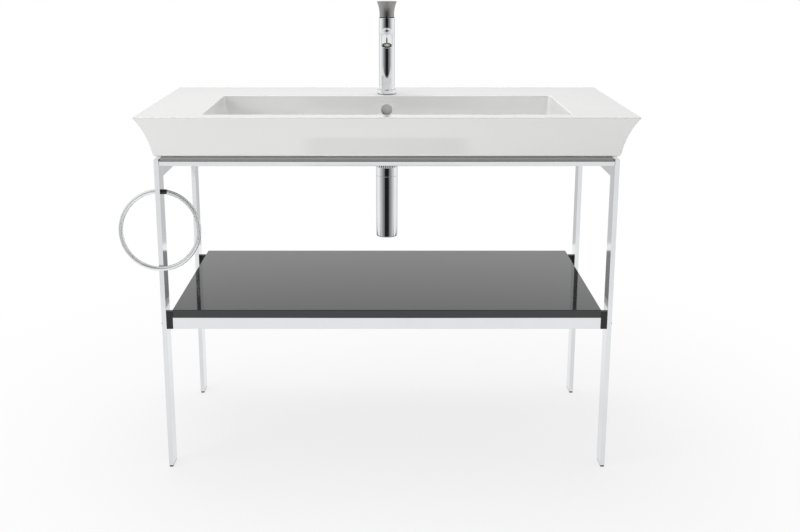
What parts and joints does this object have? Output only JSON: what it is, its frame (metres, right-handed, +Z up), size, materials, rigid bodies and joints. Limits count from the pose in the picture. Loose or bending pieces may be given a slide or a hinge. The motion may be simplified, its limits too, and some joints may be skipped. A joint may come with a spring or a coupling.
{
  "type": "washbasin on a console",
  "caption": "Rectangular ceramic washbasin with a flared rim on a slim metal console, with a single-lever tap, a bottle trap, a lower shelf and a towel ring.",
  "frame": {"origin": "on the floor, below the middle of the basin's length and depth", "axes": "+X to the right of the basin as seen by the person using it, +Y from that person to the wall, +Z up"},
  "size_m": [1.101, 0.49, 1.0227],
  "materials": {
    "glazed_ceramic": "white gloss glaze on vitreous china",
    "chrome": "bright chrome plating on brass",
    "satin_metal": "satin nickel plating",
    "polished_steel": "polished chromed flat steel bar",
    "graphite_lacquer": "graphite high-gloss lacquer on board",
    "steel": "bright stainless steel",
    "brass": "turned brass",
    "black_plastic": "moulded black nylon",
    "white_plastic": "moulded white acetal",
    "black_rubber": "moulded black rubber",
    "clear_rubber": "translucent silicone rubber"
  },
  "bodies": {
    "root": {"basin": "glazed_ceramic", "basin_pads": "clear_rubber", "front_strip": "clear_rubber", "tap_base_ring": "chrome", "tap_base_seal": "black_rubber", "tap_column": "chrome", "tap_spout": "chrome", "spout_collar": "chrome", "aerator_housing": "black_plastic", "aerator_insert": "white_plastic", "cartridge_housing": "white_plastic", "cartridge_nut": "brass", "tap_shank": "brass", "tap_rubber_washer": "black_rubber", "tap_steel_washer": "steel", "tap_nut": "brass", "waste_body": "chrome", "waste_top_seal": "black_rubber", "waste_bottom_seal": "black_rubber", "waste_backnut": "chrome", "click_unit": "white_plastic", "trap_head": "chrome", "trap_head_seal": "black_rubber", "trap_dip_tube": "chrome", "trap_neck_seal": "black_rubber", "trap_bottle": "chrome", "outlet_nut": "chrome", "outlet_seal": "black_rubber", "outlet_pipe": "chrome", "wall_rosette": "chrome", "leg_front_left": "polished_steel", "leg_front_right": "polished_steel", "leg_rear_left": "polished_steel", "leg_rear_right": "polished_steel", "rail_front": "polished_steel", "rail_rear": "polished_steel", "rail_left": "polished_steel", "rail_right": "polished_steel", "foot_pads": "black_plastic", "shelf_board": "graphite_lacquer", "shelf_rail_front": "polished_steel", "shelf_rail_rear": "polished_steel", "shelf_rail_left": "polished_steel", "shelf_rail_right": "polished_steel", "shelf_spacers": "black_plastic", "frame_screws": "steel", "board_screws": "steel", "ring_bush": "black_plastic"},
    "mixing_core": {"mixing_core": "white_plastic"},
    "handle": {"handle": "satin_metal", "lever_stem": "steel", "handle_screw": "steel"},
    "plug": {"plug_cover": "chrome", "plug_seal": "black_rubber"},
    "towel_ring": {"towel_ring": "chrome", "ring_pin": "chrome"}
  },
  "joints": [
    {"name": "temperature_turn", "type": "hinge", "parent": "root", "child": "mixing_core", "pos_m": [0, 0.13, 0.9488], "axis": [0, 0, 1], "range_deg": [-45, 45]},
    {"name": "flow_tilt", "type": "hinge", "parent": "mixing_core", "child": "handle", "pos_m": [0, 0.13, 0.9488], "axis": [1, 0, 0], "range_deg": [0, 15]},
    {"name": "plug_lift", "type": "slide", "parent": "root", "child": "plug", "axis": [0, 0, 1], "range_m": [0, 0.008]},
    {"name": "ring_swing", "type": "hinge", "parent": "root", "child": "towel_ring", "pos_m": [-0.487, -0.203, 0.636], "axis": [-1, 0, 0], "range_deg": [0, 90]}
  ]
}
